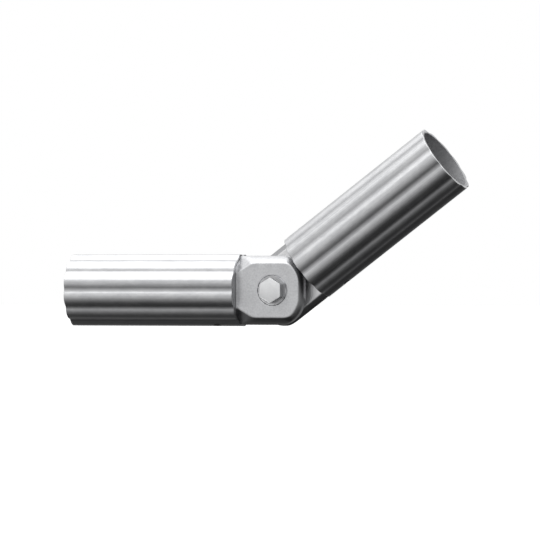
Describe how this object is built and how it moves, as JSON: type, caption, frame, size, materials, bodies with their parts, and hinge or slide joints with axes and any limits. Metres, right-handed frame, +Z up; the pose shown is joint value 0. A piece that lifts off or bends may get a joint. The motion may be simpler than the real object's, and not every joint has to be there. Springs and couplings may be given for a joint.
{
  "type": "adjustable handrail joiner",
  "caption": "Handrail joiner with fluted hollow spigots on a half-lap knuckle, clamped by a hex bolt, to join rail tubes at an adjustable angle.",
  "frame": {"origin": "centre of the fixed spigot's inner end, on the spigot's axis, where the tube meets the knuckle", "axes": "+X along the fixed spigot towards the pivot, +Y along the pivot bolt from its head to its nut, +Z up, the way the swing arm is bent"},
  "size_m": [0.2445, 0.0453, 0.1168],
  "materials": {
    "extruded_aluminium": "bright mill finish with fine drawing lines along the tube",
    "cast_aluminium": "matte blasted casting",
    "plated_steel": "bright zinc plate",
    "friction_nylon": "black nylon",
    "insert_nylon": "blue nylon",
    "spring_steel": "phosphated spring steel"
  },
  "bodies": {
    "fixed_arm": {"fixed_spigot_tube": "extruded_aluminium", "fixed_knuckle": "cast_aluminium", "fixed_spring_pin": "spring_steel", "pivot_bolt": "plated_steel", "friction_disc": "friction_nylon", "nut_washer": "plated_steel", "lock_nut": "plated_steel", "lock_nut_insert": "insert_nylon"},
    "swing_arm": {"swing_spigot_tube": "extruded_aluminium", "swing_knuckle": "cast_aluminium", "swing_spring_pin": "spring_steel"}
  },
  "joints": [
    {"name": "knuckle_pivot", "type": "hinge", "parent": "fixed_arm", "child": "swing_arm", "pos_m": [0.02263, 0, 0], "axis": [0, -1, 0], "range_deg": [-122, 48]}
  ]
}
